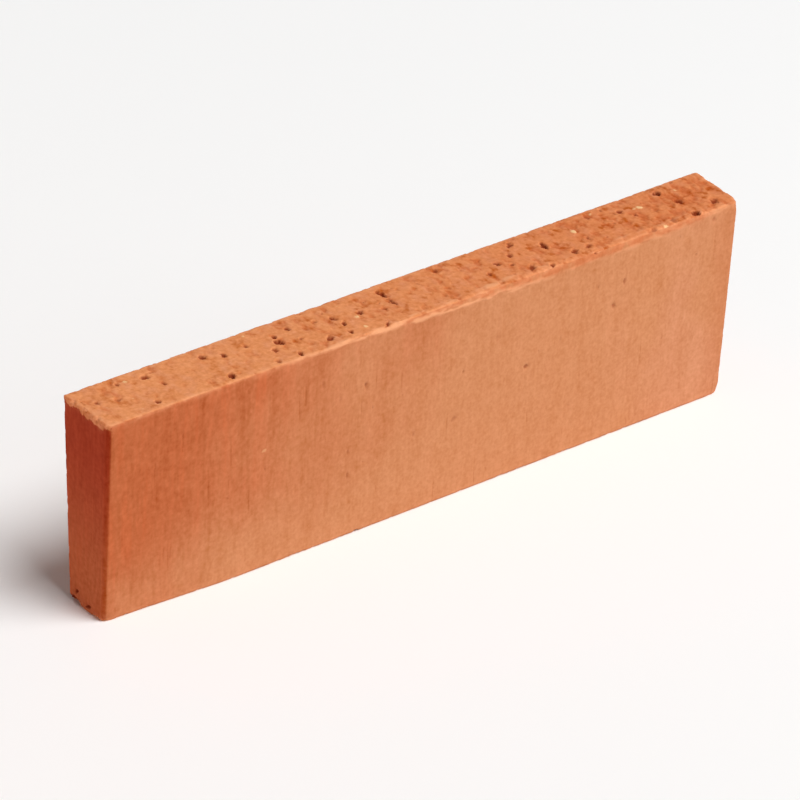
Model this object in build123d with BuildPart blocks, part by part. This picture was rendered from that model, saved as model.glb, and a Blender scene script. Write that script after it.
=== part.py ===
"""A brick slip: a thin slice sawn off the long side of an extruded, wire-cut clay brick.

It stands on one long edge. +X runs along its length, +Z up its height, and +Y from the fair
face, which a wall shows, to the sawn back, which is glued to the wall. The origin is the middle
of the edge that it stands on. All sizes are in millimetres.
"""
import os

from build123d import *

# The three sizes of the slip
slip_length = 210.0
slip_height = 60.0
slip_thickness = 20.0

# Upright edges of the fair face, rounded by the corners of the extrusion die
die_corner_radius = 1.8

# Long edges of the fair face and the end faces, where the cutting wire left the soft clay
wire_edge_radius = 0.6

# Edges of the back, broken after the saw
saw_edge_chamfer = 0.4

with BuildPart() as brick_slip:
    # Plan of the slip: the column of clay keeps the die's rounded corners at the fair face
    with BuildSketch(Plane.XY) as plan:
        Rectangle(slip_length, slip_thickness)
        fillet(plan.vertices().group_by(Axis.Y)[0], radius=die_corner_radius)

    # The two wire cuts are one brick height apart
    extrude(amount=slip_height)

    # Saw cut at the back
    back_face = brick_slip.faces().sort_by(Axis.Y)[-1]
    chamfer(back_face.edges(), length=saw_edge_chamfer)

    # All edges of the two wire-cut faces except the one that each has at the back
    wire_cut_faces = brick_slip.faces().filter_by(Axis.Z)
    wire_edges = wire_cut_faces.edges().sort_by(Axis.Y)[:-2]
    fillet(wire_edges, radius=wire_edge_radius)

brick_slip.part.label = "brick_slip"

os.makedirs("parts", exist_ok=True)
export_step(brick_slip.part, "parts/brick_slip.step")
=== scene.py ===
"""Looks of a brick slip: a slice of fired clay with two wire-cut beds, drawn faces and a sawn back.

Everything is in metres, in the part's own frame: +X runs along the slip, +Z up, and +Y from the
fair face to the sawn back. The slip stands on its lower wire-cut bed.
"""

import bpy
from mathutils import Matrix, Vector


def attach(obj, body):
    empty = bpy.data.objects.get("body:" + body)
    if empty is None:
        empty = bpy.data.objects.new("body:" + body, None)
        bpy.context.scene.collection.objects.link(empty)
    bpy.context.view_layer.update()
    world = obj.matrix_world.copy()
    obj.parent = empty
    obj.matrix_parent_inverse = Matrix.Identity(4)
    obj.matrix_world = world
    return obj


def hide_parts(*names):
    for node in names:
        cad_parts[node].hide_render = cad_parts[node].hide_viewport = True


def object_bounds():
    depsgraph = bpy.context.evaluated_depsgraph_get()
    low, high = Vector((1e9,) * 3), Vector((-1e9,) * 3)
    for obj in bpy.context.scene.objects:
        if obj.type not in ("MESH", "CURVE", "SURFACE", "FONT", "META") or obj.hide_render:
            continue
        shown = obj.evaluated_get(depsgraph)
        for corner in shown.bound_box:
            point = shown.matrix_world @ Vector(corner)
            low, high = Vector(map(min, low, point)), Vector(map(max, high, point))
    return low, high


bl_info = {
    "name": "Brick slip",
    "version": (1, 0, 0),
    "blender": (4, 5, 0),
    "location": "3D View > Sidebar > Brick slip",
    "description": "Gives the solid of a brick slip its torn beds, drawn faces, sawn back and clay",
    "category": "Object",
}

import math
from functools import reduce
from types import SimpleNamespace

import bmesh
import bpy
from bpy.props import FloatProperty, FloatVectorProperty, IntProperty, PointerProperty
from mathutils import Quaternion, Vector

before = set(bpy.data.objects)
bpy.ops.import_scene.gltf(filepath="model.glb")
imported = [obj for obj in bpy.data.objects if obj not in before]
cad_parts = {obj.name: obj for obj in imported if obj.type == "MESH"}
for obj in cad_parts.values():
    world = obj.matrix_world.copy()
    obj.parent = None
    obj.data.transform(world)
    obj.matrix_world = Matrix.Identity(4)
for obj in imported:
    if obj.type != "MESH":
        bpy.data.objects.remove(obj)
cad_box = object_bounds()

MM = 0.001
SOLID = "brick_slip"
FACING = (0.6, 0.95)  # how squarely a surface faces out where a face begins, and where it is full
MOSTLY_SMALL = 2.5  # the power that makes small marks common and large ones rare

# Stretches along the slip: where something begins, and where it is full
BREAK_STRETCH = (-40 * MM, 30 * MM)
BURR_STRETCH = (-60 * MM, -30 * MM)
BURR_DULL_STRETCH = (15 * MM, 45 * MM)
# Painted shade as well as flush: where the drawn faces begin to darken and redden towards the left end,
# and where they are darkest
FLUSH_AND_SHADE_STRETCH = (10 * MM, -95 * MM)
BLOOM_STRETCH = (45 * MM, 92 * MM)
RIGHT_FLUSH_STRETCH = (93 * MM, 106 * MM)
REDDER_STRETCH = (-80 * MM, 90 * MM)
BREAK_END = 88 * MM  # where the break in the front arris starts to run out again
LEAN_START = 60 * MM  # from where the right end begins to lean
TAPER_START = -60 * MM  # from where the left end begins to narrow


def srgb(red, green, blue):
    """The linear colour of a screen colour given in 0 to 255."""
    shares = (c / 255 for c in (red, green, blue))
    return tuple(s / 12.92 if s <= 0.04045 else ((s + 0.055) / 1.055) ** 2.4 for s in shares)


def length(name, millimetres, description):
    """A property that holds a length, with its default given in millimetres."""
    return FloatProperty(
        name=name, description=description, default=millimetres * MM, min=0, unit="LENGTH", precision=5
    )


def colour(name, screen_colour, description):
    """A property that holds a colour, with its default given as a screen colour."""
    return FloatVectorProperty(
        name=name, description=description, default=srgb(*screen_colour), min=0, max=1, subtype="COLOR"
    )


class ClaySizes(bpy.types.PropertyGroup):
    """Sizes of the relief on the slip."""

    wave_height: length("Wave height", 0.2, "Height of the slow waves that the wire leaves in a bed")
    wave_length: length("Wave length", 15, "Length of those waves")
    drag_height: length("Drag height", 0.06, "Height of the fine lines that the wire drags across a bed")
    drag_width: length("Drag width", 0.8, "Width of one dragged line")
    grit_height: length("Grit height", 0.06, "Height of the sandy grit on a bed")
    grit_size: length("Grit size", 0.8, "Width of one crumb of grit")
    tear_depth: length("Tear depth", 0.28, "Depth of the patches that the wire tears out of a bed")
    tear_width: length("Tear width", 2.6, "Width of one torn patch")
    pit_width: length("Pit width", 1.0, "Largest half width of a pit that a torn-out grain leaves")
    pit_depth: length("Pit depth", 0.6, "Depth of the widest pit")
    lip_height: length("Lip height", 0.07, "Height of the lip round a pit and over the left end")
    lip_drop: length("Lip drop", 1.5, "How far the lip over the left end hangs down")
    crack_length: length("Crack length", 3.2, "Largest half length of a tear that the wire drags open")
    crack_depth: length("Crack depth", 0.5, "Depth of a tear")
    grain_width: length("Grain width", 0.6, "Largest half width of a pale grain in a bed")
    grain_height: length("Grain height", 0.1, "Height of a pale grain")
    pinhole_width: length("Pinhole width", 0.4, "Largest half width of a pinhole in a drawn face")
    scratch_length: length("Scratch length", 7, "Largest half length of a scratch up a drawn face")
    scratch_depth: length("Scratch depth", 0.1, "Depth of a scratch")
    streak_height: length("Streak height", 0.02, "Height of the streaks that the die draws up a face")
    streak_width: length("Streak width", 1.3, "Width of one streak")
    saw_height: length("Saw mark height", 0.06, "Height of the arcs that the blade leaves in the back")
    saw_pitch: length("Saw mark pitch", 1.7, "Distance from one arc to the next")
    saw_radius: length("Saw radius", 175, "Radius of the saw blade")
    arris_reach: length("Arris reach", 1.6, "How far wear reaches in from an arris")
    arris_wear: length("Arris wear", 0.3, "How deep an arris is nibbled away")
    corner_reach: length("Corner reach", 3.6, "How far wear reaches in from a corner of the fair face")
    corner_wear: length("Corner wear", 0.5, "How deep such a corner is worn away")
    brink_drop: length("Brink drop", 1.9, "How far the broken front arris reaches down the fair face")
    brink_wear: length("Brink wear", 0.35, "How deep the front arris is broken away")
    burr_height: length("Burr height", 0.12, "Height of the burr that the wire pushed up in front")
    nick_depth: length("Nick depth", 0.5, "Depth of a nick in an arris")
    right_lean: length("Right lean", 2.4, "How far the top of the right end leans out past its foot")
    right_skew: length("Right skew", 1.4, "How far the back of the right end runs out past its front")
    right_reach: length("Right reach", 0.55, "How far the right end runs out past the plain solid")
    left_taper: length("Left taper", 2.6, "How far each face is set in at the foot of the left end")
    left_turn: length("Left turn", 0.6, "How far the foot of the left end is turned forward")
    seed: IntProperty(name="Seed", description="Changes every random place at once", default=7)


class ClayColours(bpy.types.PropertyGroup):
    """Colours of the fired clay."""

    drawn: colour("Drawn face", (202, 134, 91), "Clay that slid along the die")
    # Also laid on as painted shade, darkening the drawn faces towards the left end
    flushed: colour("Flushed face", (186, 95, 54), "Drawn clay that was fired harder")
    bed: colour("Bed", (223, 143, 91), "Clay that the wire cut")
    torn: colour("Torn bed", (205, 102, 55), "Clay that the wire tore")
    sawn: colour("Sawn back", (196, 115, 74), "Clay that was sawn after firing")
    # Also painted shade: laid into pits, tears, pores and pinholes, more the deeper they are
    pit: colour("Pit", (130, 46, 18), "Bottom of a pit or a tear")
    grain: colour("Pale grain", (246, 206, 150), "Lime and quartz grains")
    # Also laid on as painted highlight along the bed arrises and the front burr
    nick: colour("Nick", (236, 166, 120), "Fresh break in an arris")
    # Partly clay that took the most fire, partly painted shade that darkens and reddens the left end
    ended: colour("End", (166, 62, 33), "Drawn clay of the left end, which took the most fire")
    bloom: colour("Bloom", (214, 144, 112), "Pale pink bloom on the clay")


class StageSettings(bpy.types.PropertyGroup):
    """Light and camera."""

    sun: FloatProperty(name="Sun", description="Strength of the soft main light", default=2.8, min=0)
    sky: FloatProperty(name="Sky", description="Strength of the light all round", default=0.15, min=0)
    side: FloatProperty(
        name="Side light", description="Power of the light beyond the right end",
        default=0.8, min=0, unit="POWER",
    )
    warm: FloatProperty(
        name="Warm fill", description="Power of the warm light at the left end",
        default=0.24, min=0, unit="POWER",
    )
    lens: FloatProperty(name="Lens", description="Focal length", default=0.2373, min=0.01, unit="CAMERA")


class Wire:
    """A socket that gives a value, so that sums on it are written as Python."""

    def __init__(self, net, socket):
        self.net = net
        self.socket = socket

    def __add__(self, other):
        return self.net.sum("ADD", self, other)

    def __radd__(self, other):
        return self.net.sum("ADD", other, self)

    def __sub__(self, other):
        return self.net.sum("SUBTRACT", self, other)

    def __rsub__(self, other):
        return self.net.sum("SUBTRACT", other, self)

    def __mul__(self, other):
        return self.net.sum("MULTIPLY", self, other)

    def __rmul__(self, other):
        return self.net.sum("MULTIPLY", other, self)

    def __truediv__(self, other):
        return self.net.sum("DIVIDE", self, other)

    def __rtruediv__(self, other):
        return self.net.sum("DIVIDE", other, self)

    def __pow__(self, other):
        return self.net.sum("POWER", self, other)

    def __abs__(self):
        return self.net.sum("ABSOLUTE", self)


class Net:
    """Adds nodes to one tree, of a material or of geometry nodes."""

    def __init__(self, tree):
        self.tree = tree

    def node(self, kind, settings=None, sockets=None):
        """Adds a node: first its settings, then the values or links of its sockets."""
        made = self.tree.nodes.new(kind)
        for name, value in (settings or {}).items():
            setattr(made, name, value)
        for name, value in (sockets or {}).items():
            socket = made.inputs[name] if isinstance(name, int) else self.open_socket(made.inputs, name)
            self.feed(socket, value)
        return made

    def out(self, kind, settings=None, sockets=None, output=None):
        """Adds a node and gives the wire of one output, the first unless it is named."""
        made = self.node(kind, settings, sockets)
        return Wire(self, self.open_socket(made.outputs, output))

    def open_socket(self, sockets, name):
        return next(s for s in sockets if s.enabled and name in (None, s.name))

    def feed(self, socket, value):
        """Links a wire to a socket, or sets the socket's own value."""
        if isinstance(value, Wire):
            self.tree.links.new(value.socket, socket)
        elif socket.type == "RGBA" and len(value) == 3:
            socket.default_value = (*value, 1)
        else:
            socket.default_value = value

    def sum(self, operation, *terms):
        """One sum on numbers, or on vectors and colours if any term is one."""
        def is_vector(term):
            if isinstance(term, Wire):
                return term.socket.type in {"VECTOR", "RGBA"}
            return isinstance(term, tuple)

        vectors = any(map(is_vector, terms))
        kind = "ShaderNodeVectorMath" if vectors else "ShaderNodeMath"
        if vectors:
            terms = [(t, t, t) if isinstance(t, (int, float)) else t for t in terms]
        return self.out(kind, {"operation": operation}, dict(enumerate(terms)))

    def least(self, *terms):
        return self.sum("MINIMUM", *terms)

    def most(self, *terms):
        return self.sum("MAXIMUM", *terms)

    def dot(self, a, b):
        return self.out("ShaderNodeVectorMath", {"operation": "DOT_PRODUCT"}, {0: a, 1: b}, "Value")

    def size_of(self, vector):
        return self.out("ShaderNodeVectorMath", {"operation": "LENGTH"}, {0: vector}, "Value")

    def parts(self, vector):
        """The X, Y and Z of a vector."""
        made = self.node("ShaderNodeSeparateXYZ", sockets={"Vector": vector})
        return [Wire(self, socket) for socket in made.outputs]

    def step(self, value, start, end):
        """A smooth rise from 0 at start to 1 at end, or a fall if end is the lower."""
        return self.out(
            "ShaderNodeMapRange", {"interpolation_type": "SMOOTHSTEP"},
            {"Value": value, "From Min": start, "From Max": end},
        )

    def blend(self, share, a, b):
        """The colour a where share is 0, and b where it is 1."""
        colours = {"Factor": share, "A": a, "B": b}
        return self.out("ShaderNodeMix", {"data_type": "RGBA"}, colours, "Result")

    def noise(self, place, lump, detail=2.0, output=None):
        """Noise from about 0 to 1. lump is the size of its lumps: one number, or one for each axis."""
        lumps = lump if isinstance(lump, tuple) else (lump,) * 3
        scale = tuple(1 / side for side in lumps)
        return self.out(
            "ShaderNodeTexNoise", {"noise_dimensions": "3D"},
            {"Vector": place * scale, "Scale": 1.0, "Detail": detail}, output,
        )


# Listed marks. Each is two places, half length, half width and depth, all in millimetres, and
# how far its length is turned, in degrees. The places are along the slip and across the bed, along
# the slip and up the fair face, or across the left end and up it. A mark that isn't turned lies
# square across the bed, or upright on a face.
BED_PITS = (
    (-94.9, -0.1, 1.2, 1.1, 0.34, 0),
    (-90.9, 6.1, 1.2, 0.9, 0.47, 0),
    (-87.3, -6.7, 1.3, 0.9, 0.81, -20),
    (-82.8, 5.1, 1.7, 1.6, 0.68, 30),
    (-80.2, 6.5, 1.2, 0.8, 0.41, 80),
    (-80.6, -0.1, 1.3, 1.1, 0.47, 0),
    (-64.7, 4.9, 1.8, 1.4, 0.81, 0),
    (-64.2, -7, 1.8, 1.2, 1.62, -20),
    (-59.6, 3, 1.7, 1.1, 0.68, 0),
    (-52, 3.5, 1.3, 1.1, 0.41, 0),
    (-49.6, -7.7, 1.3, 0.9, 0.41, -20),
    (-46.7, -2.6, 1.4, 1.2, 0.47, 0),
    (-43.5, 0.2, 2, 1.5, 1.35, -20),
    (-43.4, 2.6, 1.3, 0.8, 0.81, 0),
    (-42.4, -7.7, 1.7, 0.9, 0.68, -30),
    (-37.8, 4.2, 1.6, 1.1, 0.68, 0),
    (-37.8, -1.9, 0.9, 0.7, 0.41, 0),
    (-31.6, -6.1, 1.8, 1.4, 0.68, 0),
    (-29.6, 3.1, 1.3, 1.1, 0.34, 0),
    (-24.9, -6.1, 1.4, 0.9, 0.74, -20),
    (-24.6, 2.1, 1.6, 1.2, 0.68, 0),
    (-24, -2, 1.7, 0.9, 1.08, -35),
    (-16.9, 0.3, 1.6, 1.1, 0.81, -30),
    (14, 7, 1.6, 1.4, 0.47, 0),
    (29.6, 0.3, 1.6, 1.2, 0.75, 0),
    (35.4, 2.1, 1.8, 0.9, 0.54, -35),
    (36.4, -6.5, 2.3, 1.2, 0.54, -35),
    (38.9, 6.7, 2.1, 1.1, 0.54, -35),
    (51.4, -6.1, 2.1, 1.2, 0.54, -30),
    (56.2, -6.1, 1.8, 1.1, 0.48, -30),
    (58.9, -2.6, 1.4, 0.9, 0.32, 0),
    (65.9, 7, 2, 1.4, 0.34, 0),
    (73.7, -5.4, 2, 1.6, 0.23, 0),
    (76.3, -9, 1.5, 1.6, 0.34, 0),
    (82.8, -0.8, 1.5, 1.2, 0.23, 0),
    (83.7, -7.9, 2, 1.6, 0.34, 0),
    (88.6, 6.4, 1.3, 1.2, 1.49, -15),
    (91, -0.4, 1.8, 1.4, 0.65, -10),
    (91, -8.1, 1.6, 1.5, 1.22, -20),
    (98.9, -5.8, 2.1, 2, 0.55, 0),
    (24.5, -3, 1.2, 0.7, 0.5, -30),
    (33, -2.4, 1, 0.8, 0.6, 10),
    (41.5, -8.4, 1.2, 0.9, 0.6, -30),
)
BED_CRACKS = (
    (-54, 0, 2.2, 0.35, 0.35, 12),
    (-14.2, -8.1, 2.4, 0.5, 0.6, -40),
    (-5.8, 4.8, 2.8, 1.3, 1.0, 5),
    (-5.9, 0.6, 3.4, 0.7, 0.8, 6),
    (-1.5, 5, 2.4, 0.4, 0.4, 25),
    (5.5, 4, 3.0, 0.4, 0.35, 20),
    (46.4, 1, 2.8, 1.0, 1.0, -4),
    (59, -2.5, 2.2, 0.6, 0.5, -30),
    (73, 4.5, 2.0, 0.4, 0.4, 20),
)
BED_GRAINS = (
    (-20, -6.5, 0.8, 0.6, 0.1, 10),
    (58.2, 2.4, 1.2, 0.9, 0.15, -20),
    (80.2, -9.2, 0.9, 0.7, 0.1, 60),
    (80.4, 2.8, 1.1, 0.8, 0.15, 30),
)
FAIR_PINHOLES = (
    (-67, 25.5, 0.8, 0.6, 0.2, 0),
    (-36.3, 49.5, 2, 0.6, 0.2, 0),
    (-30.5, 43, 1.3, 0.75, 0.18, 0),
    (-27.5, 26, 1.4, 0.68, 0.22, 0),
    (-27.5, 18.5, 1.4, 0.68, 0.28, 0),
    (-22, 44.5, 1.7, 0.75, 0.3, 0),
    (-5.3, 24, 1.2, 0.75, 0.22, 0),
    (8.5, 24, 1.7, 0.9, 0.25, 60),
    (22.5, 44.5, 1.6, 1.05, 0.15, 0),
    (33, 32, 1.3, 0.98, 0.35, 75),
    (44.5, 36.5, 2, 0.75, 0.15, 20),
    (48.5, 14.5, 1.3, 0.9, 0.15, 0),
    (57, 49, 1.3, 0.75, 0.15, 0),
    (63.1, 41, 1.4, 0.9, 0.3, 0),
    (66.6, 47.5, 1.7, 0.75, 0.3, 5),
    (96, 57, 1.2, 0.9, 0.25, 0),
)
FAIR_GRAINS = (
    (-55.3, 36, 1.0, 0.55, 0.05, 65),
)
FAIR_SCRATCHES = (
    (-90, 40, 6.0, 0.4, 0.1, 0),
    (-86.6, 15, 4.0, 0.35, 0.14, 0),
    (-84.4, 15.5, 3.6, 0.3, 0.12, 0),
    (-81.5, 48, 5.0, 0.4, 0.12, 0),
    (-73, 30, 6.0, 0.4, 0.1, 0),
    (-66, 38, 5.0, 0.45, 0.12, 0),
    (-60, 22, 5.0, 0.4, 0.1, 0),
    (-44, 45, 5.0, 0.3, 0.1, 0),
    (-42, 47, 7.0, 0.3, 0.12, 0),
    (-10, 42, 4.5, 0.4, 0.12, 0),
)
ARRIS_NICKS = (
    (-105, 6, 1.6, 1.2, 0.7, 0),
    (-105, 1.5, 2.4, 0.8, 0.5, 0),
    (-105, -4.5, 1.6, 1.1, 0.6, 0),
    (-105, -8.5, 1.2, 0.7, 0.3, 0),
    (-44, -10, 2.2, 0.9, 0.3, 90),
    (-20, -10, 4.0, 0.9, 0.28, 90),
    (-10, -10, 1.6, 0.9, 0.35, 90),
    (6, -10, 1.6, 0.9, 0.3, 90),
    (18, -10, 1.8, 0.9, 0.35, 90),
    (39, -10, 2.4, 1.1, 0.4, 90),
    (57, -10, 1.6, 0.8, 0.3, 90),
    (80, -10, 1.2, 0.9, 0.4, 90),
)
END_PITS = (
    (6.9, 0.3, 5.0, 2.1, 1.0, -88),
    (5.8, 4.0, 1.8, 0.9, 0.7, -75),
    (-1.4, 1.8, 2.3, 1.1, 0.8, -65),
)
FOOT_NICKS = (
    (-5.5, 0, 3.2, 1.3, 0.8, 90),
)
MARK_SIZES = ("half_length", "half_width", "depth")


def mark_points(name, marks, place, direction):
    """A mesh of loose points, one for each mark, that carry the sizes of the mark."""
    mesh = bpy.data.meshes.new(name)
    mesh.from_pydata([place(mark[0] * MM, mark[1] * MM) for mark in marks], [], [])
    for column, size in enumerate(MARK_SIZES, start=2):
        sizes = mesh.attributes.new(size, "FLOAT", "POINT")
        sizes.data.foreach_set("value", [mark[column] * MM for mark in marks])
    axes = mesh.attributes.new("axis", "FLOAT_VECTOR", "POINT")
    turns = [math.radians(mark[5]) for mark in marks]
    axes.data.foreach_set("vector", [part for turn in turns for part in direction(turn)])
    points = bpy.data.objects.new(name, mesh)
    bpy.context.collection.objects.link(points)
    return points


def on_bed(name, marks):
    """Marks of the upper bed and its arrises."""
    top = cad_box[1].z
    return mark_points(
        name, marks, lambda x, y: (x, y, top), lambda turn: (-math.sin(turn), math.cos(turn), 0.0)
    )


def on_fair_face(name, marks):
    """Marks of the fair face."""
    front = cad_box[0].y
    return mark_points(
        name, marks, lambda x, z: (x, front, z), lambda turn: (math.sin(turn), 0.0, math.cos(turn))
    )


def on_left_end(name, marks):
    """Marks of the left end and its foot."""
    left = cad_box[0].x
    return mark_points(
        name, marks, lambda y, z: (left, y, z), lambda turn: (0.0, math.sin(turn), math.cos(turn))
    )


def scatter(net, surface, where, count, spacing, half_lengths, half_widths, depths, axis, swing, seed):
    """Points strewn over the surface, thickest where where is 1, that carry the sizes of a mark.

    count is how many there may be on a square metre. Each size has a low and a high value. One
    random number sets all three, and most marks are near the low end. The length of a mark lies
    along axis, turned either way by up to swing, in radians.
    """
    strewn = net.node(
        "GeometryNodeDistributePointsOnFaces", {"distribute_method": "POISSON"},
        {
            "Mesh": surface, "Distance Min": spacing, "Density Max": count, "Density Factor": where,
            "Seed": seed,
        },
    )
    points = Wire(net, strewn.outputs["Points"])
    normal = Wire(net, strewn.outputs["Normal"])
    chance = net.out("FunctionNodeRandomValue", {"data_type": "FLOAT"}, {"Seed": seed + 1})
    for name, (low, high) in zip(MARK_SIZES, (half_lengths, half_widths, depths)):
        points = store(net, points, name, low + (high - low) * chance ** MOSTLY_SMALL)
    turn = net.out(
        "FunctionNodeRandomValue", {"data_type": "FLOAT"}, {"Min": -swing, "Max": swing, "Seed": seed + 2}
    )
    turned = net.out(
        "ShaderNodeVectorRotate", {"rotation_type": "AXIS_ANGLE"},
        {"Vector": axis, "Axis": normal, "Angle": turn},
    )
    return store(net, points, "axis", turned, "FLOAT_VECTOR")


def store(net, geometry, name, value, kind="FLOAT"):
    """Keeps a value on the points of a geometry, under a name."""
    return net.out(
        "GeometryNodeStoreNamedAttribute", {"data_type": kind, "domain": "POINT"},
        {"Geometry": geometry, "Name": name, "Value": value},
    )


def join(net, *clouds):
    """One cloud of points from several."""
    joined = net.node("GeometryNodeJoinGeometry")
    for cloud in clouds:
        net.tree.links.new(cloud.socket, joined.inputs["Geometry"])
    return Wire(net, joined.outputs["Geometry"])


def set_marks(net, holder):
    """The points of a set of listed marks, from the object that holds them."""
    mesh = net.out("GeometryNodeObjectInfo", None, {"Object": holder}, "Geometry")
    return net.out("GeometryNodeMeshToPoints", None, {"Mesh": mesh})


def carve(net, clouds, place, bend, ragged, floor):
    """How far each spot lies inside a mark, from 0 to 1, how deep it is cut there, and how far
    the spot lies on the lip round the mark, from 0 to 1. Of several clouds, the most counts.

    bend is how far the outline strays, and ragged how rough it is, as a share of the mark's
    size. The slope down into the mark starts at its outline and ends at floor, as a share too.
    The lip runs from the outline to nearly twice the mark's size.
    """
    stray = (net.noise(place, 1.8 * MM, 2.0, "Color") - (0.5, 0.5, 0.5)) * (2 * bend)
    crumble = (net.noise(place, 0.7 * MM, 3.0) - 0.5) * (2 * ragged)

    def carve_one(marks):
        nearest = net.out(
            "GeometryNodeSampleNearest", {"domain": "POINT"},
            {"Geometry": marks, "Sample Position": place},
        )

        def of_mark(field, kind="FLOAT"):
            return net.out(
                "GeometryNodeSampleIndex", {"data_type": kind, "domain": "POINT"},
                {"Geometry": marks, "Value": field, "Index": nearest},
            )

        def kept(name, kind="FLOAT"):
            named = net.out("GeometryNodeInputNamedAttribute", {"data_type": kind}, {"Name": name})
            return of_mark(named, kind)

        half_length, half_width, depth = (kept(name) for name in MARK_SIZES)
        axis = kept("axis", "FLOAT_VECTOR")
        away = place + stray - of_mark(net.out("GeometryNodeInputPosition"), "FLOAT_VECTOR")
        along = net.dot(away, axis)
        across = net.size_of(away - axis * along)
        reach = ((along / half_length) ** 2 + (across / half_width) ** 2) ** 0.5 + crumble
        inside = net.step(reach, 1.0, floor)
        return inside, inside * depth, net.step(reach, 1.9, 1.2) * (1 - inside)

    return [reduce(net.most, values) for values in zip(*map(carve_one, clouds))]


def bed_relief(net, place, size, torn):
    """Waves, dragged lines, torn patches and grit that the wire leaves in a bed."""
    wave = net.noise(place / size.wave_length, 1.0, 1.0) - 0.5
    drag = net.noise(place / size.drag_width, (1.0, 9.0, 9.0), 2.0) - 0.5
    grit = net.noise(place / size.grit_size, 1.0, 3.0) - 0.5
    coarse = 0.5 + torn
    return (
        wave * size.wave_height * 2 + drag * size.drag_height * 2
        + grit * size.grit_height * 2 * coarse - torn * size.tear_depth
    )


def drawn_relief(net, place, size):
    """Upright streaks, faint waves and sand of a face that slid along the die."""
    streak = net.noise(place / size.streak_width, (1.0, 1.0, 24.0), 2.0) - 0.5
    wave = net.noise(place, (30 * MM, 30 * MM, 60 * MM), 1.0) - 0.5
    sand = net.noise(place, (1.0 * MM, 1.0 * MM, 1.6 * MM), 3.0) - 0.5
    return streak * size.streak_height * 2 + wave * 0.12 * MM + sand * 0.03 * MM


def sawn_relief(net, place, size):
    """Arcs of the saw blade across the back. Its hub was below the slip."""
    x, _, z = net.parts(place)
    hub_x, hub_drop = -30 * MM, size.saw_radius * 0.85
    from_hub = ((x - hub_x) ** 2 + (z + hub_drop) ** 2) ** 0.5
    uneven = net.noise(place, 9 * MM, 2.0)
    ring = net.sum("SINE", from_hub / size.saw_pitch * math.tau + uneven * 5)
    grit = net.noise(place, 0.7 * MM, 3.0) - 0.5
    return ring * uneven * size.saw_height + grit * 0.06 * MM


# Every set of listed marks, with the function that lays it on the slip
HAND_SET = {
    "Bed pits": (on_bed, BED_PITS),
    "Bed cracks": (on_bed, BED_CRACKS),
    "Bed grains": (on_bed, BED_GRAINS),
    "Fair pinholes": (on_fair_face, FAIR_PINHOLES),
    "Fair grains": (on_fair_face, FAIR_GRAINS),
    "Fair scratches": (on_fair_face, FAIR_SCRATCHES),
    "Arris nicks": (on_bed, ARRIS_NICKS),
    "End pits": (on_left_end, END_PITS),
    "Foot nicks": (on_left_end, FOOT_NICKS),
}


def open_tree(sizes):
    """A tree of geometry nodes with a named input for each size and each set of marks."""
    tree = bpy.data.node_groups.new("clay surface", "GeometryNodeTree")
    tree.interface.new_socket("Geometry", in_out="INPUT", socket_type="NodeSocketGeometry")
    for key in ClaySizes.__annotations__:
        known = sizes.bl_rna.properties[key]
        kind = "NodeSocketInt" if known.type == "INT" else "NodeSocketFloat"
        tree.interface.new_socket(known.name, in_out="INPUT", socket_type=kind)
    for name in HAND_SET:
        tree.interface.new_socket(name, in_out="INPUT", socket_type="NodeSocketObject")
    tree.interface.new_socket("Clay", in_out="INPUT", socket_type="NodeSocketMaterial")
    tree.interface.new_socket("Geometry", in_out="OUTPUT", socket_type="NodeSocketGeometry")

    net = Net(tree)
    return net, {socket.name: Wire(net, socket) for socket in net.node("NodeGroupInput").outputs}


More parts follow.
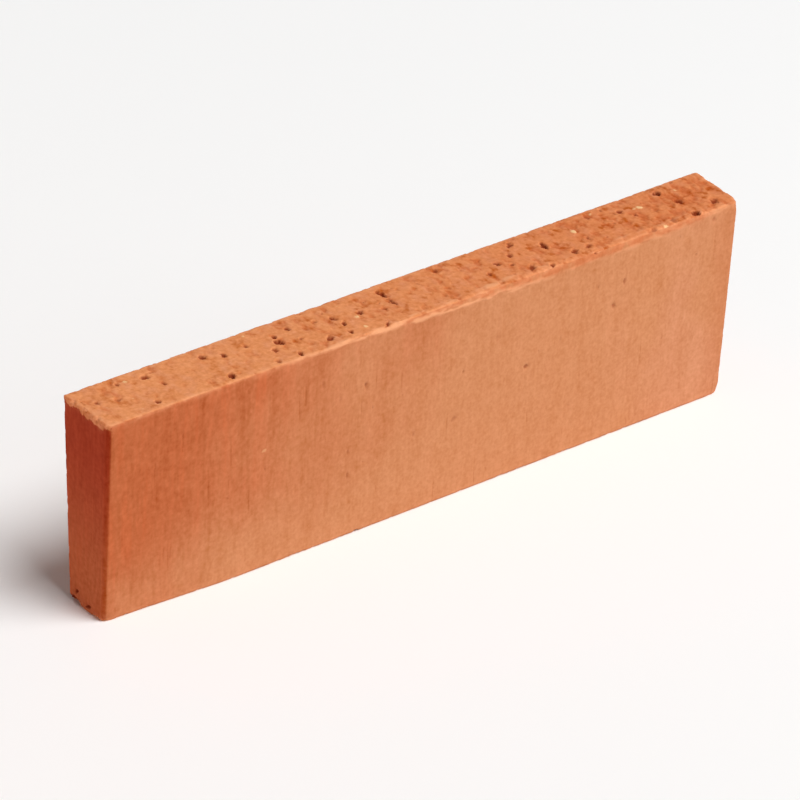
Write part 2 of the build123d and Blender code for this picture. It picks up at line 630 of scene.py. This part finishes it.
def marks_of(net, given, size, surface, on):
    """The marks of each kind: those listed, and those strewn at random. on says how far a
    spot is on each face, how roughly the wire cut it, and how near it is to an arris.
    """
    along = (1.0, 0.0, 0.0)
    across = (0.0, 1.0, 0.0)
    upright = (0.0, 0.0, 1.0)
    pits = (
        join(net, set_marks(net, given["Bed pits"]), set_marks(net, given["End pits"])),
        scatter(
            net, surface, on.bed * on.rougher, count=16000, spacing=2.2 * MM,
            half_lengths=(0.3 * MM, size.pit_width * 1.4), half_widths=(0.25 * MM, size.pit_width),
            depths=(0.1 * MM, size.pit_depth), axis=across, swing=0.8, seed=size.seed,
        ),
    )
    cracks = (
        set_marks(net, given["Bed cracks"]),
        scatter(
            net, surface, on.bed * on.rougher, count=4500, spacing=5 * MM,
            half_lengths=(0.9 * MM, size.crack_length), half_widths=(0.15 * MM, 0.4 * MM),
            depths=(0.15 * MM, size.crack_depth), axis=across, swing=0.5, seed=size.seed + 10,
        ),
    )
    grains = (
        join(net, set_marks(net, given["Bed grains"]), set_marks(net, given["Fair grains"])),
        scatter(
            net, surface, on.bed * on.clear_of_arris, count=2600, spacing=5 * MM,
            half_lengths=(0.25 * MM, size.grain_width * 1.2), half_widths=(0.22 * MM, size.grain_width),
            depths=(0.04 * MM, size.grain_height), axis=across, swing=1.5, seed=size.seed + 20,
        ),
    )
    pinholes = (
        set_marks(net, given["Fair pinholes"]),
        scatter(
            net, surface, on.drawn * on.clear_of_arris, count=3500, spacing=5 * MM,
            half_lengths=(0.2 * MM, size.pinhole_width * 2), half_widths=(0.15 * MM, size.pinhole_width),
            depths=(0.06 * MM, 0.3 * MM), axis=upright, swing=0.15, seed=size.seed + 30,
        ),
    )
    scratches = (
        set_marks(net, given["Fair scratches"]),
        scatter(
            net, surface, on.drawn * on.clear_of_arris, count=2500, spacing=7 * MM,
            half_lengths=(1.5 * MM, size.scratch_length), half_widths=(0.15 * MM, 0.3 * MM),
            depths=(0.03 * MM, size.scratch_depth), axis=upright, swing=0.04, seed=size.seed + 60,
        ),
    )
    pores = (
        scatter(
            net, surface, on.back * on.clear_of_arris, count=40000, spacing=1.5 * MM,
            half_lengths=(0.2 * MM, 0.9 * MM), half_widths=(0.18 * MM, 0.7 * MM),
            depths=(0.1 * MM, 0.5 * MM), axis=upright, swing=1.5, seed=size.seed + 40,
        ),
    )
    at_arris = net.step(on.near_arris, 0.7, 0.9) * net.most(on.bed, on.back)
    nicks = (
        join(net, set_marks(net, given["Arris nicks"]), set_marks(net, given["Foot nicks"])),
        scatter(
            net, surface, at_arris, count=30000, spacing=5 * MM,
            half_lengths=(0.5 * MM, 2.6 * MM), half_widths=(0.3 * MM, 1.1 * MM),
            depths=(0.1 * MM, size.nick_depth), axis=along, swing=0.3, seed=size.seed + 50,
        ),
    )
    return pits, cracks, grains, pinholes, scratches, pores, nicks


def clay_tree(sizes):
    """Geometry nodes that cut, tear, wear and saw the surface of the plain solid."""
    net, given = open_tree(sizes)
    size = SimpleNamespace(
        **{key: given[sizes.bl_rna.properties[key].name] for key in ClaySizes.__annotations__}
    )
    surface = given["Geometry"]
    place = net.out("GeometryNodeInputPosition")
    normal = net.out("GeometryNodeInputNormal")
    x, y, z = net.parts(place)
    normal_x, normal_y, normal_z = net.parts(normal)

    # Which face a spot is on: a wire-cut bed, the sawn back, or else a face that the die drew
    bed = net.step(abs(normal_z), *FACING)
    back = net.step(normal_y, *FACING)
    drawn = 1 - net.most(bed, back)
    end = net.most(net.step(normal_x, -0.25, -0.65), net.step(normal_x, *FACING))

    # Distances to the three pairs of faces, and from them to the nearest arris and corner
    low, high = cad_box
    centre, half = (low + high) / 2, (high - low) / 2
    gaps = [h - abs(c - m) for c, m, h in zip((x, y, z), centre, half)]
    nearer, farther = net.least(gaps[0], gaps[1]), net.most(gaps[0], gaps[1])
    to_arris = net.most(nearer, net.least(farther, gaps[2]))
    to_bed_arris = net.most(nearer, gaps[2])
    to_corner = (gaps[0] ** 2 + gaps[1] ** 2 + gaps[2] ** 2) ** 0.5
    to_front_arris = ((y - low.y) ** 2 + (z - high.z) ** 2) ** 0.5
    near_arris = net.most(1 - to_arris / size.arris_reach, 0.0)
    clear_of_arris = net.step(to_arris, 0.2 * MM, 1.2 * MM)

    # The wire tore more of the clay towards the right end
    rougher = 0.45 + net.step(x, low.x, high.x) * 0.55
    stray = (net.noise(place, 3 * MM, 2.0, "Color") - (0.5, 0.5, 0.5)) * (3 * MM)
    tear = net.noise((place + stray) / size.tear_width, (1.0, 2.2, 2.2), 3.0)
    more_torn = (rougher - 0.75) * 0.14
    torn = net.step(tear + more_torn, 0.5, 0.7) * bed

    on = SimpleNamespace(
        bed=bed, back=back, drawn=drawn, rougher=rougher,
        near_arris=near_arris, clear_of_arris=clear_of_arris,
    )
    pits, cracks, grains, pinholes, scratches, pores, nicks = marks_of(net, given, size, surface, on)
    _, pit_cut, pit_lip = carve(net, pits, place, bend=0.8 * MM, ragged=0.6, floor=0.25)
    _, crack_cut, _ = carve(net, cracks, place, bend=0.9 * MM, ragged=0.7, floor=0.2)
    _, grain_rise, _ = carve(net, grains, place, bend=0.3 * MM, ragged=0.4, floor=0.6)
    _, pinhole_cut, _ = carve(net, pinholes, place, bend=0.3 * MM, ragged=0.5, floor=0.2)
    in_scratch, scratch_cut, _ = carve(net, scratches, place, bend=0.2 * MM, ragged=0.6, floor=0.2)
    _, pore_cut, _ = carve(net, pores, place, bend=0.4 * MM, ragged=0.5, floor=0.3)
    in_nick, nick_cut, _ = carve(net, nicks, place, bend=0.7 * MM, ragged=0.5, floor=0.1)

    hole = net.most(net.most(pit_cut, crack_cut), pore_cut * back)
    pinhole = pinhole_cut * drawn
    nibble = net.step(net.noise(place, 2.2 * MM, 3.0), 0.48, 0.72) * near_arris * near_arris

    # The front arris is broken away towards the right end, and the bed's clay runs on over it
    broken = net.step(x, *BREAK_STRETCH) * net.step(x, high.x, BREAK_END)
    brink = size.brink_drop * broken * (0.3 + net.noise(place, (6 * MM, 40 * MM, 40 * MM), 2.0) * 1.4)
    shoulder = net.most(1 - to_front_arris / (brink + 0.4 * MM), 0.0)
    below_top = high.z - z
    on_front = net.step(normal_y, -0.3, -0.6)
    crest = net.step(below_top / (brink + 0.1 * MM), 1.15, 0.8) * on_front * broken

    # The wire pushed up a burr along the front arris, except at its left end
    from_break = abs(to_front_arris - brink * 1.1)
    ridge = net.step(from_break, 1.3 * MM, 0.3 * MM) * net.step(x, *BURR_STRETCH)
    burr = ridge * net.step(net.noise(place, (5 * MM, 1.6 * MM, 1.6 * MM), 4.0), 0.44, 0.62)

    # The wire dragged a lip of clay over the top of the left end
    frayed = net.step(net.noise(place, (2 * MM, 2.4 * MM, 2 * MM), 3.0), 0.35, 0.65)
    droop = size.lip_drop * (0.5 + frayed)
    lip = net.step(below_top / droop, 1.1, 0.8) * net.step(x, low.x + 1.5 * MM, low.x + 1.0 * MM)

    worn_corner = net.step(to_corner, size.corner_reach, 0.0) * net.step(y, high.y, low.y)
    relief = (
        bed * bed_relief(net, place, size, torn)
        + drawn * drawn_relief(net, place, size)
        + back * sawn_relief(net, place, size)
        + grain_rise
        + pit_lip * size.lip_height * bed
        + burr * size.burr_height
        + lip * size.lip_height
        - hole
        - pinhole
        - scratch_cut * drawn
        - nick_cut
        - nibble * size.arris_wear
        - shoulder * shoulder * size.brink_wear
        - worn_corner * size.corner_wear
    )
    # No point of the lower bed sinks into what the slip stands on
    grounded = net.step(z, low.z + 3 * MM, low.z)
    relief = relief - net.most(relief, 0.0) * grounded

    # The right end leans out of square, and the foot of the left end is narrower
    rise = (z - low.z) / (high.z - low.z)
    depth = y / (high.y - low.y)
    reach = size.right_reach + rise * size.right_lean + depth * size.right_skew
    lean = net.step(x, LEAN_START, high.x) * reach
    taper = net.step(x, TAPER_START, low.x) * (1 - rise) * (depth * 2 * size.left_taper + size.left_turn)
    out_of_square = net.out("ShaderNodeCombineXYZ", None, {"X": lean, "Y": 0 - taper})

    # What the material has to know about each spot, from 0 to 1
    # Painted shade: the deeper a pit, tear, pore or pinhole, the more of the dark pit colour it gets
    hollow_shade = net.most(net.step(hole, 0.04 * MM, 0.6 * MM), net.step(pinhole, 0.02 * MM, 0.6 * MM))
    # Painted shade: the rounded corner from the fair face round to the left end is made darker, carrying
    # the end's shade round it
    left_corner_shade = net.step(normal_x, -0.25, -0.5) * net.step(normal_x, -0.99, -0.9)
    pale_edge = net.most(
        net.step(gaps[2], 3 * MM, 1 * MM), net.step(y, high.y - 2 * MM, high.y - 1 * MM)
    )
    spots = {
        "bed": bed,
        "back": back,
        "end": end,
        "torn": torn,
        "hole": hollow_shade,
        "scratch": in_scratch * drawn,
        "corner": left_corner_shade,
        "lip": lip,
        "brink": crest,
        "grain": net.step(grain_rise, 0.0, 0.12 * MM),
        "nick": net.most(in_nick, nibble * pale_edge),
        "arris": net.step(to_bed_arris, 1.8 * MM, 0.2 * MM),
        "burr": burr,
    }
    for name, value in spots.items():
        surface = store(net, surface, name, value)
    surface = net.out(
        "GeometryNodeSetPosition", None,
        {"Geometry": surface, "Offset": normal * relief + out_of_square},
    )
    surface = net.out("GeometryNodeSetShadeSmooth", None, {"Geometry": surface})
    surface = net.out("GeometryNodeRealizeInstances", None, {"Geometry": surface})
    surface = net.out("GeometryNodeSetMaterial", None, {"Geometry": surface, "Material": given["Clay"]})
    net.node("NodeGroupOutput", None, {"Geometry": surface})
    return net.tree


def clay_material(colours):
    """Fired clay, matt and mottled, with what each way of cutting laid open."""
    material = bpy.data.materials.new("fired_clay")
    material.use_nodes = True
    material.node_tree.nodes.clear()
    net = Net(material.node_tree)
    place = net.out("ShaderNodeTexCoord", output="Object")
    x, _, z = net.parts(place)

    def kept(name):
        return net.out("ShaderNodeAttribute", {"attribute_name": name}, output="Fac")

    bed, back, end, torn, hole, grain = map(kept, ("bed", "back", "end", "torn", "hole", "grain"))
    nick, arris, burr, scratch = map(kept, ("nick", "arris", "burr", "scratch"))
    corner, lip, brink = map(kept, ("corner", "lip", "brink"))
    rough = net.most(bed, back)
    drawn = 1 - rough
    tint = {key: tuple(getattr(colours, key)) for key in ClayColours.__annotations__}

    # Drawn faces: redder and darker towards the left end and less so towards the foot, partly flushed
    # clay and partly painted shade where the light falls off, with sand and upright streaks
    low, high = cad_box
    rise = (z - low.z) / (high.z - low.z)
    blotch = net.noise(place, (28 * MM, 28 * MM, 40 * MM), 2.0)
    foot = net.step(rise, 0.5, 0.0) * (1 - end)
    blotched = x + (blotch - 0.5) * (90 * MM) + (0.5 - rise) * (30 * MM) + foot * (40 * MM)
    left = net.step(blotched, *FLUSH_AND_SHADE_STRETCH)
    streak = net.noise(place, (2.8 * MM, 2.8 * MM, 42 * MM), 3.0)
    smear = net.noise(place, (1.0 * MM, 1.0 * MM, 5 * MM), 3.0)
    sand = net.noise(place, 1.5 * MM, 2.0)
    flush_and_shade = left * 0.85 + (net.step(streak, 0.42, 0.78) * 0.25 + (smear - 0.5) * 0.2) * (0.25 + left)
    clay = net.blend(flush_and_shade, tint["drawn"], tint["flushed"])
    bloom = net.step(x, *BLOOM_STRETCH) * net.step(blotch, 0.4, 0.65)
    clay = net.blend(bloom * 0.3, clay, tint["bloom"])
    clay = net.blend(net.step(x, *RIGHT_FLUSH_STRETCH) * 0.25, clay, tint["flushed"])

    # The ends get a darker, redder colour, least at the foot of the left end and half as much at the
    # right end: partly clay that took more fire, partly painted shade, darkest towards the top of the
    # left end
    fired = end * (0.15 + 0.85 * net.step(rise, 0.1, 0.85)) * net.step(x, high.x * 2, 0.0)
    clay = net.blend(fired, clay, tint["ended"])

    # Beds: pale where the wire smeared the clay, redder where it tore
    warmth = net.noise(place, (3.5 * MM, 5 * MM, 5 * MM), 3.0)
    cut = net.blend(net.step(warmth, 0.4, 0.75) * 0.35, tint["bed"], tint["bloom"])
    redder = net.step(x, *REDDER_STRETCH) * 0.32
    cut = net.blend(redder + torn * 0.35, cut, tint["torn"])
    clay = net.blend(net.most(bed, lip * 0.9), clay, cut)
    clay = net.blend(brink * net.step(warmth, 0.3, 0.55) * 0.5, clay, tint["torn"])
    clay = net.blend(back, clay, tint["sawn"])

    # Mottling at the size of the grit in the clay, redder where it is darker, with painted shade on the
    # rounded corner by the left end
    mottle = net.noise(place, 0.9 * MM, 3.0)
    cloud = net.noise(place, 7 * MM, 3.0)
    stain = net.step(net.noise(place, (3 * MM, 3.6 * MM, 3.6 * MM), 3.0), 0.54, 0.7) * (0.6 + redder * 2)
    upright = (streak - 0.5) * (0.16 + 0.34 * left) + (smear - 0.5) * (0.14 + 0.2 * left)
    mottling = (
        (mottle - 0.5) * (0.2 + 0.06 * rough)
        + (sand - 0.5) * (0.2 + 0.15 * left * drawn + 0.16 * rough)
        + (cloud - 0.5) * 0.12
        + upright * drawn
        - (stain * 0.24 + torn * 0.1) * bed
        # painted shade on the rounded corner by the left end
        - corner * 0.2
        - scratch * 0.12
        - brink * 0.06
    )
    unmottled, reddening = (1.0, 1.0, 1.0), (1.0, 1.75, 2.6)
    clay = clay * (unmottled + reddening * mottling)

    # Pale along the bed arrises, partly worn clay and partly painted highlight where the edges catch the
    # light; paler on the front burr, raised clay with a painted highlight on it; pale where an arris is
    # nicked and where a grain shows; darker the deeper a hollow, as painted shade
    worn_and_highlit = arris * net.step(net.noise(place, (6 * MM, 2 * MM, 2 * MM), 3.0), 0.35, 0.65)
    clay = net.blend(worn_and_highlit * (0.25 + 0.25 * bed), clay, tint["nick"])
    clay = net.blend(burr * (0.8 - 0.4 * net.step(x, *BURR_DULL_STRETCH)), clay, tint["nick"])
    clay = net.blend(nick * 0.6, clay, tint["nick"])
    clay = net.blend(grain * 0.8, clay, tint["grain"])
    # painted shade in the hollows, darker with their depth
    clay = net.blend(hole * 0.9, clay, tint["pit"])

    crumb = net.noise(place, 0.28 * MM, 3.0)
    height = crumb * (0.3 + 0.4 * rough) + smear * 0.4 * drawn
    bump = net.out("ShaderNodeBump", None, {"Strength": 0.6, "Distance": 0.12 * MM, "Height": height})
    shader = net.out(
        "ShaderNodeBsdfPrincipled", None,
        {
            "Base Color": clay, "Roughness": 0.92 - 0.12 * drawn * streak, "Normal": bump,
            "Specular IOR Level": 0.1,
        },
    )
    net.node("ShaderNodeOutputMaterial", None, {"Surface": shader})
    return material


class BRICK_SLIP_OT_clay(bpy.types.Operator):
    """Make the fired slip: the plain solid with its relief and its clay"""

    bl_idname = "brick_slip.clay"
    bl_label = "Fired slip"

    facet: FloatProperty(
        name="Facet", description="Width of a facet before flat stretches are thinned out",
        default=0.25 * MM, min=0.1 * MM, unit="LENGTH", precision=5,
    )
    triangles: IntProperty(name="Triangles", description="Most triangles of the slip", default=194000)

    def execute(self, context):
        sizes = context.scene.brick_slip_sizes
        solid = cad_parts[SOLID]
        slip = bpy.data.objects.new("fired_slip", solid.data.copy())
        context.collection.objects.link(slip)
        whole = bmesh.new()
        whole.from_mesh(slip.data)
        bmesh.ops.remove_doubles(whole, verts=whole.verts, dist=0.001 * MM)
        whole.to_mesh(slip.data)
        whole.free()

        remesh = slip.modifiers.new("facets", "REMESH")
        remesh.mode = "VOXEL"
        remesh.voxel_size = self.facet * 1
        relief = slip.modifiers.new("relief", "NODES")
        relief.node_group = clay_tree(sizes)
        holders = {name: lay(name, marks) for name, (lay, marks) in HAND_SET.items()}
        values = {
            sizes.bl_rna.properties[key].name: getattr(sizes, key) for key in ClaySizes.__annotations__
        }
        values.update(holders)
        values["Clay"] = clay_material(context.scene.brick_slip_colours)
        for socket in relief.node_group.interface.items_tree:
            if socket.name in values:
                relief[socket.identifier] = values[socket.name]
        self.bake(slip)

        triangles = sum(len(face.vertices) - 2 for face in slip.data.polygons)
        thin = slip.modifiers.new("thinned", "DECIMATE")
        thin.ratio = min(1.0, self.triangles / triangles)
        self.bake(slip)

        for holder in holders.values():
            bpy.data.objects.remove(holder)
        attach(slip, "root")
        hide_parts(SOLID)
        return {"FINISHED"}

    def bake(self, slip):
        """Puts what the modifiers make into a plain mesh, and takes them off."""
        evaluated = slip.evaluated_get(bpy.context.evaluated_depsgraph_get())
        mesh = bpy.data.meshes.new_from_object(evaluated)
        slip.modifiers.clear()
        slip.data = mesh


class BRICK_SLIP_OT_stage(bpy.types.Operator):
    """Set up the pale floor, the soft light and the camera"""

    bl_idname = "brick_slip.stage"
    bl_label = "Stage"

    def execute(self, context):
        settings = context.scene.brick_slip_stage
        self.floor()
        self.sky(settings.sky)
        self.sun(settings.sun)
        self.lamp(
            "side_light", stand=(0.5, -0.42, 0.3), aim=(0.1, 0, 0.03), width=0.3,
            power=settings.side, tint=(1, 1, 1),
        )
        self.lamp(
            "warm_fill", stand=(-0.5, -0.02, 0.12), aim=(-0.105, 0, 0.03), width=0.25,
            power=settings.warm, tint=(1.0, 0.3, 0.12),
        )
        self.camera(settings.lens)
        context.scene.view_settings.view_transform = "Standard"
        return {"FINISHED"}

    def floor(self):
        """A pale floor, wide enough to fill the view."""
        half = 10.0
        corners = [(-half, -half, 0), (half, -half, 0), (half, half, 0), (-half, half, 0)]
        mesh = bpy.data.meshes.new("floor")
        mesh.from_pydata(corners, [], [(0, 1, 2, 3)])
        floor = bpy.data.objects.new("floor", mesh)
        bpy.context.collection.objects.link(floor)
        paint = bpy.data.materials.new("pale_floor")
        paint.use_nodes = True
        shader = paint.node_tree.nodes["Principled BSDF"]
        shader.inputs["Base Color"].default_value = (0.93, 0.93, 0.925, 1)
        shader.inputs["Roughness"].default_value = 0.9
        mesh.materials.append(paint)

    def sky(self, strength):
        """White light from all round, brightest near the horizon."""
        world = bpy.data.worlds.new("studio")
        world.use_nodes = True
        world.node_tree.nodes.clear()
        net = Net(world.node_tree)
        _, _, up = net.parts(net.out("ShaderNodeTexCoord", output="Generated"))
        haze = net.step(up, 0.2, 0.08)
        shade = net.out(
            "ShaderNodeBackground", None,
            {"Color": (1.0, 1.0, 1.0), "Strength": strength + haze * (1 - strength)},
        )
        net.node("ShaderNodeOutputWorld", None, {"Surface": shade})
        bpy.context.scene.world = world

    def sun(self, strength):
        """A wide, soft sun above and in front of the slip."""
        towards_sun = Vector((0.2, -0.44, 0.875))
        light = bpy.data.lights.new("soft_sun", "SUN")
        light.energy = strength
        light.angle = math.radians(35)
        sun = bpy.data.objects.new("soft_sun", light)
        sun.rotation_mode = "QUATERNION"
        sun.rotation_quaternion = towards_sun.to_track_quat("Z", "Y")
        bpy.context.collection.objects.link(sun)

    def lamp(self, name, stand, aim, width, power, tint):
        """A soft square lamp at stand that shines at aim."""
        light = bpy.data.lights.new(name, "AREA")
        light.energy = power
        light.color = tint
        light.size = width
        lamp = bpy.data.objects.new(name, light)
        lamp.location = stand
        lamp.rotation_mode = "QUATERNION"
        lamp.rotation_quaternion = (Vector(stand) - Vector(aim)).to_track_quat("Z", "Y")
        bpy.context.collection.objects.link(lamp)

    def camera(self, lens):
        """The camera, in front of the left end and above it."""
        stand = Vector((-0.7726, -0.9382, 0.7415))
        aim = Vector((-0.0022, 0.0, 0.0286))
        roll = math.radians(2.32)
        data = bpy.data.cameras.new("camera")
        data.lens = lens / MM
        data.clip_start = 0.05
        camera = bpy.data.objects.new("camera", data)
        camera.rotation_mode = "QUATERNION"
        camera.location = stand
        camera.rotation_quaternion = (aim - stand).to_track_quat("-Z", "Y") @ Quaternion((0, 0, 1), roll)
        bpy.context.collection.objects.link(camera)
        bpy.context.scene.camera = camera


class BRICK_SLIP_PT_slip(bpy.types.Panel):
    """Lists what makes the slip and its stage"""

    bl_idname = "BRICK_SLIP_PT_slip"
    bl_label = "Brick slip"
    bl_space_type = "VIEW_3D"
    bl_region_type = "UI"
    bl_category = "Brick slip"

    def draw(self, context):
        scene = context.scene
        for operator in (BRICK_SLIP_OT_clay, BRICK_SLIP_OT_stage):
            self.layout.operator(operator.bl_idname)
        for group in (scene.brick_slip_sizes, scene.brick_slip_colours, scene.brick_slip_stage):
            box = self.layout.box()
            for key in group.__annotations__:
                box.prop(group, key)


CLASSES = (
    ClaySizes, ClayColours, StageSettings, BRICK_SLIP_OT_clay, BRICK_SLIP_OT_stage, BRICK_SLIP_PT_slip,
)
GROUPS = {
    "brick_slip_sizes": ClaySizes,
    "brick_slip_colours": ClayColours,
    "brick_slip_stage": StageSettings,
}


def register():
    for cls in CLASSES:
        bpy.utils.register_class(cls)
    for name, group in GROUPS.items():
        setattr(bpy.types.Scene, name, PointerProperty(type=group))


def unregister():
    for name in GROUPS:
        delattr(bpy.types.Scene, name)
    for cls in reversed(CLASSES):
        bpy.utils.unregister_class(cls)


def main():
    register()
    bpy.ops.brick_slip.clay()
    bpy.ops.brick_slip.stage()


if __name__ == "__main__":
    main()
